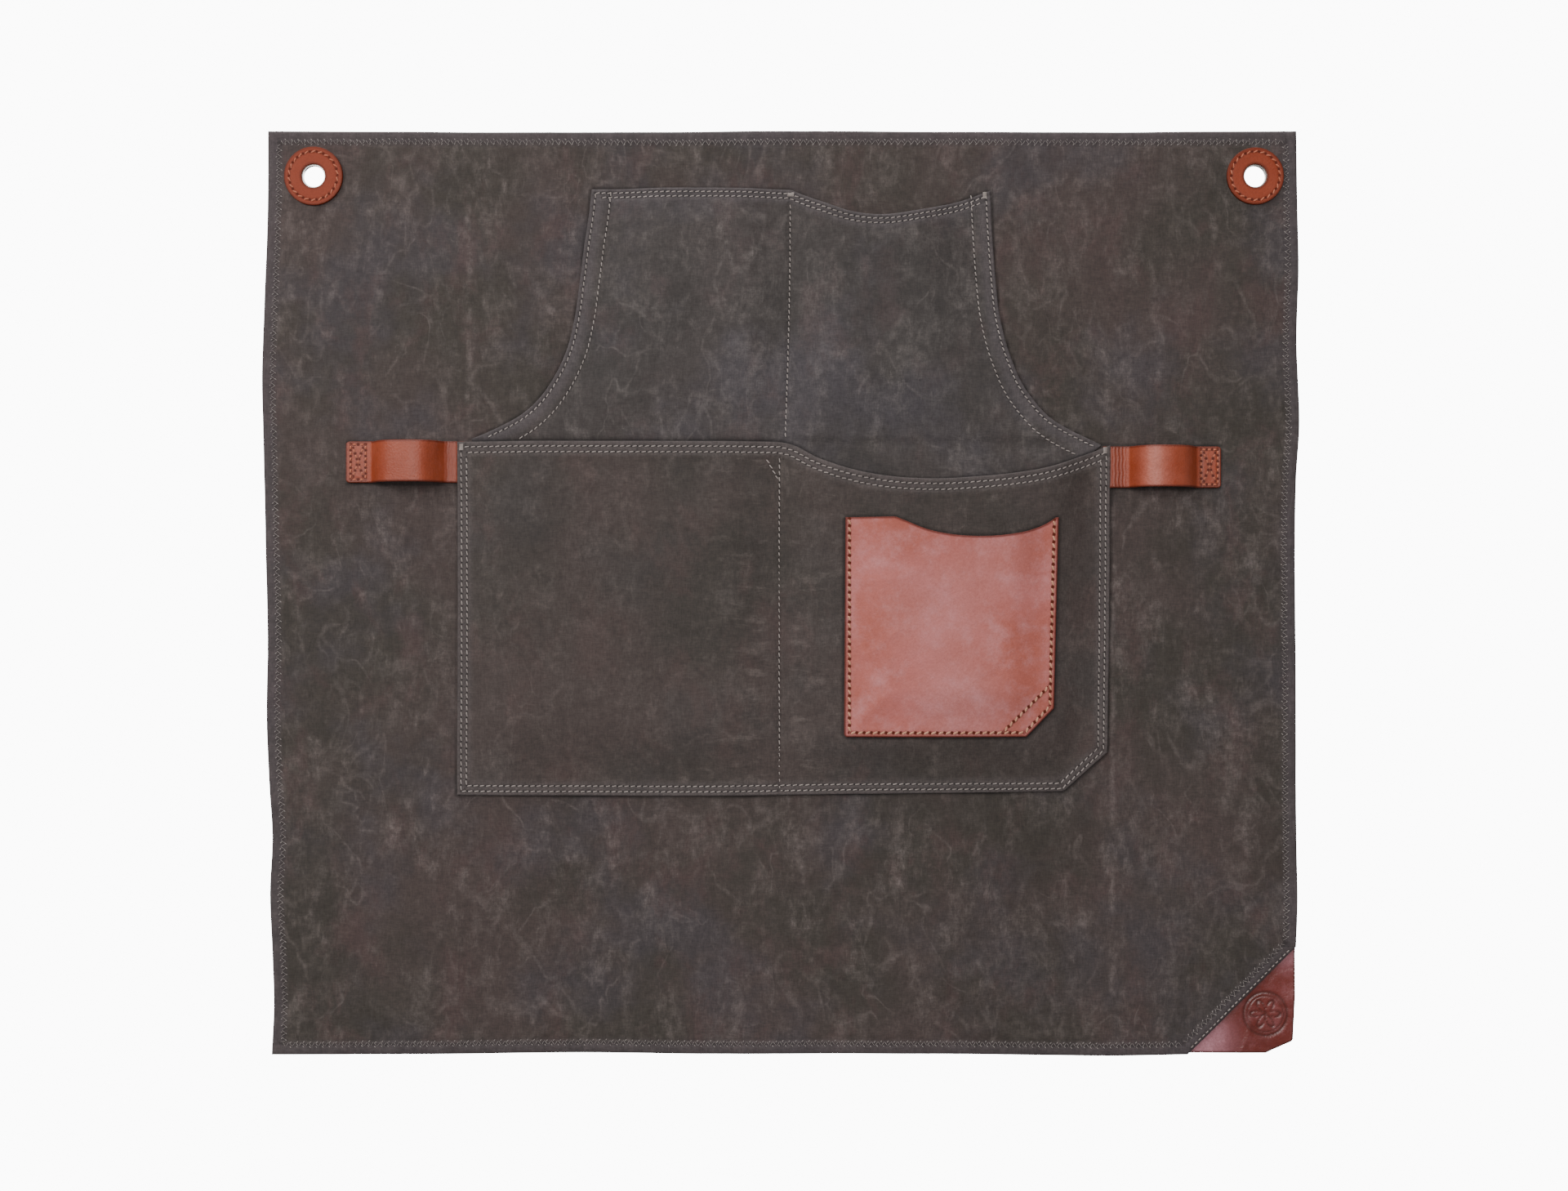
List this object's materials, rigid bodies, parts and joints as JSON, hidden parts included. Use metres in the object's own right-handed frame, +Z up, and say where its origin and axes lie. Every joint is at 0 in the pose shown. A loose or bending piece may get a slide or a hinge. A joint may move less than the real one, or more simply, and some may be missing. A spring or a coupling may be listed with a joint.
{
  "type": "butcher apron",
  "caption": "Waxed-canvas butcher apron body with layered canvas pockets, a leather pocket, leather towel loops, ringed hanging eyelets and a leather corner patch.",
  "frame": {"origin": "midway between the two hanging eyelets, on the back face of the canvas", "axes": "+X to the apron's right as seen from the front, +Y from the front to the back, +Z up along the hanging cloth"},
  "size_m": [0.629, 0.0231, 0.565],
  "materials": {
    "canvas": "waxed canvas",
    "pocket_leather": "matte",
    "strap_leather": "waxed",
    "patch_leather": "polished",
    "nickel": "polished nickel",
    "canvas_thread": "thread",
    "leather_thread": "waxed thread",
    "strap_thread": "waxed thread"
  },
  "bodies": {
    "root": {"main_panel": "canvas", "upper_pocket": "canvas", "lower_pocket": "canvas", "leather_pocket": "pocket_leather", "towel_loop_left": "strap_leather", "towel_loop_right": "strap_leather", "eyelet_ring_left": "strap_leather", "eyelet_ring_right": "strap_leather", "corner_patch": "patch_leather", "eyelet_left": "nickel", "eyelet_right": "nickel", "eyelet_washer_left": "nickel", "eyelet_washer_right": "nickel", "hem_thread": "canvas_thread", "corner_patch_thread": "canvas_thread", "upper_pocket_top_thread": "canvas_thread", "upper_pocket_left_thread": "canvas_thread", "upper_pocket_right_thread": "canvas_thread", "upper_pocket_divider_thread": "canvas_thread", "upper_pocket_base_thread": "canvas_thread", "lower_pocket_top_thread": "canvas_thread", "lower_pocket_edge_thread": "canvas_thread", "lower_pocket_divider_thread": "canvas_thread", "lower_pocket_triangle_thread": "canvas_thread", "bartacks": "canvas_thread", "leather_pocket_thread": "leather_thread", "leather_pocket_corner_thread": "leather_thread", "towel_loop_thread_left": "strap_thread", "towel_loop_thread_right": "strap_thread", "eyelet_ring_thread_left": "strap_thread", "eyelet_ring_thread_right": "strap_thread"}
  },
  "joints": []
}
